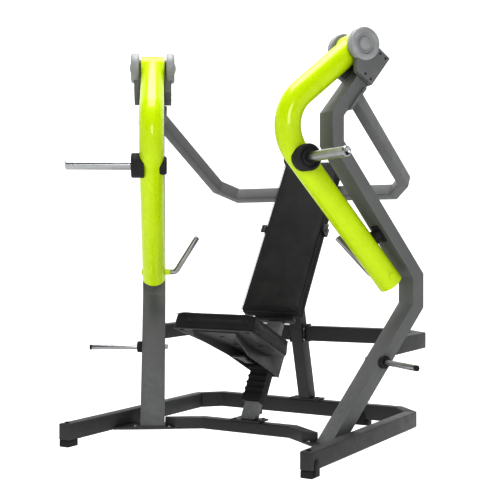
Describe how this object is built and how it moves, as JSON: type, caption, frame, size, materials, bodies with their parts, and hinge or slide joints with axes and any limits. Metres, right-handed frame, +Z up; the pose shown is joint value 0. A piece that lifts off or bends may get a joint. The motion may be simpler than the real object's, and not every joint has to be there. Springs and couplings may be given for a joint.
{
  "type": "incline chest press machine",
  "caption": "Plate-loaded incline chest press with two pivoting bent press arms, weight horns, inclined back pad and sliding seat on a low box-section frame.",
  "frame": {"origin": "on the floor under the middle of the machine's bounding box", "axes": "+Z up, -Y towards the user's feet and the open front, +Y to the back, X across, with the machine symmetrical about the plane x = 0"},
  "size_m": [1.6602, 1.2424, 1.7478],
  "materials": {
    "grey_paint": "satin powder coat",
    "charcoal_paint": "satin powder coat, darker",
    "light_grey_paint": "satin, light grey",
    "lime_paint": "gloss lime green",
    "chrome": "bright plated",
    "steel": "satin steel",
    "black_rubber": "matt moulded rubber",
    "grey_plastic": "moulded, fine texture",
    "black_leatherette": "fine-grain leatherette"
  },
  "bodies": {
    "frame": {"base_rail_r": "charcoal_paint", "base_rail_l": "charcoal_paint", "rear_crossbar": "charcoal_paint", "front_crossbar": "charcoal_paint", "post_foot_plate_r": "charcoal_paint", "post_foot_plate_l": "charcoal_paint", "foot_front_r": "black_rubber", "foot_front_l": "black_rubber", "foot_rear_r": "black_rubber", "foot_rear_l": "black_rubber", "post_r": "grey_paint", "post_l": "grey_paint", "arm_stop_r": "black_rubber", "arm_stop_l": "black_rubber", "storage_peg_r": "chrome", "storage_peg_l": "chrome", "storage_peg_collar_r": "black_rubber", "storage_peg_collar_l": "black_rubber", "storage_peg_cap_r": "black_rubber", "storage_peg_cap_l": "black_rubber", "pivot_plate_outer_r": "grey_paint", "pivot_plate_outer_l": "grey_paint", "pivot_plate_inner_r": "grey_paint", "pivot_plate_inner_l": "grey_paint", "pivot_shaft_r": "steel", "pivot_shaft_l": "steel", "pivot_cap_outer_r": "grey_plastic", "pivot_cap_outer_l": "grey_plastic", "pivot_cap_inner_r": "grey_plastic", "pivot_cap_inner_l": "grey_plastic", "brace_end_plate_r": "grey_paint", "brace_end_plate_l": "grey_paint", "upper_rear_brace": "grey_paint", "mid_brace_r": "charcoal_paint", "mid_brace_l": "charcoal_paint", "beam_flange": "charcoal_paint", "inclined_beam": "light_grey_paint", "column_flange": "charcoal_paint", "back_column": "charcoal_paint", "seat_rack": "black_rubber", "back_pad": "black_leatherette", "back_pad_frame": "charcoal_paint", "back_pad_bracket": "charcoal_paint"},
    "press_arm_r": {"arm_r": "lime_paint", "weight_horn_r": "chrome", "horn_collar_r": "black_rubber", "horn_inner_cap_r": "black_rubber", "handle_r": "steel"},
    "press_arm_l": {"arm_l": "lime_paint", "weight_horn_l": "chrome", "horn_collar_l": "black_rubber", "horn_inner_cap_l": "black_rubber", "handle_l": "steel"},
    "seat": {"seat_carriage": "charcoal_paint", "seat_pan": "charcoal_paint", "seat_pad": "black_leatherette"},
    "latch": {"seat_latch": "charcoal_paint"}
  },
  "joints": [
    {"name": "press_arm_r_pivot", "type": "hinge", "parent": "frame", "child": "press_arm_r", "pos_m": [0.511, -0.06317, 1.679], "axis": [-0.8255, 0.5644, 0], "range_deg": [0, 42]},
    {"name": "press_arm_l_pivot", "type": "hinge", "parent": "frame", "child": "press_arm_l", "pos_m": [-0.511, -0.06317, 1.679], "axis": [-0.8255, -0.5644, 0], "range_deg": [0, 42]},
    {"name": "seat_slide", "type": "slide", "parent": "frame", "child": "seat", "axis": [0, 0.515, 0.8572], "range_m": [-0.09, 0.09]},
    {"name": "seat_latch_pivot", "type": "hinge", "parent": "seat", "child": "latch", "pos_m": [0, 0.06508, 0.36031], "axis": [-1, 0, 0], "range_deg": [0, 5.5], "stiffness_Nm_per_rad": 3, "springref_deg": -11.46}
  ]
}
